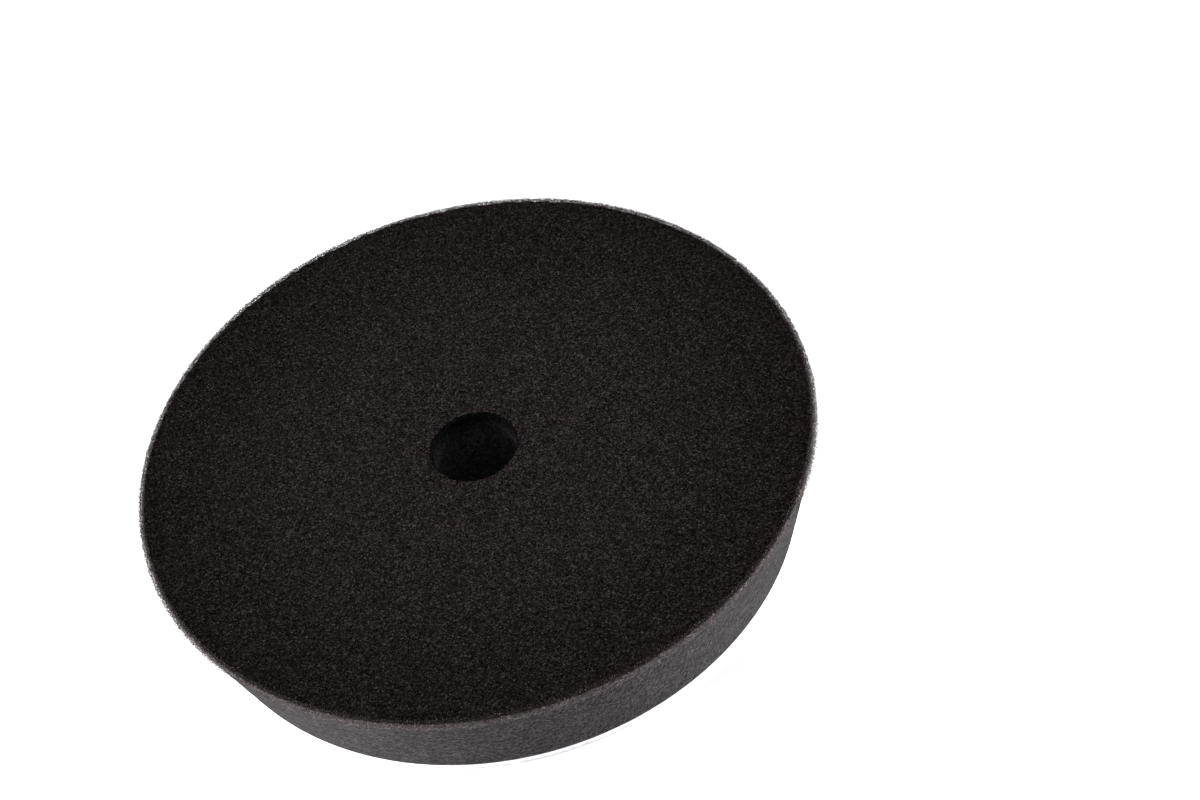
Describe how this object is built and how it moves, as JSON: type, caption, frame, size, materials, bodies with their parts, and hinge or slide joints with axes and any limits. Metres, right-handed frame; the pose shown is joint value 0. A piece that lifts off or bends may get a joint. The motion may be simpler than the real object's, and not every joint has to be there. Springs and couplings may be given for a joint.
{
  "type": "polishing pad",
  "caption": "Round foam polishing pad with a centre hole, a conical side wall and a loop backing for a hook-faced plate.",
  "frame": {"origin": "centre of the loop face, on the pad's axis", "axes": "+Z along the axis, from the loop face to the working face; +X along the colour band on the loop face"},
  "size_m": [0.165, 0.165, 0.0275],
  "materials": {
    "black_foam": "matt open-cell foam",
    "hot_melt": "dull translucent film",
    "ground_knit": "fine warp knit",
    "loop_yarn": "brushed loop pile",
    "gold_ink": "ink soaked into the pile",
    "grey_ink": "ink soaked into the pile"
  },
  "bodies": {
    "root": {"foam_disc": "black_foam", "adhesive_film": "hot_melt", "loop_ground": "ground_knit", "loop_pile": "loop_yarn", "print_band": "gold_ink", "print_marks": "grey_ink"}
  },
  "joints": []
}
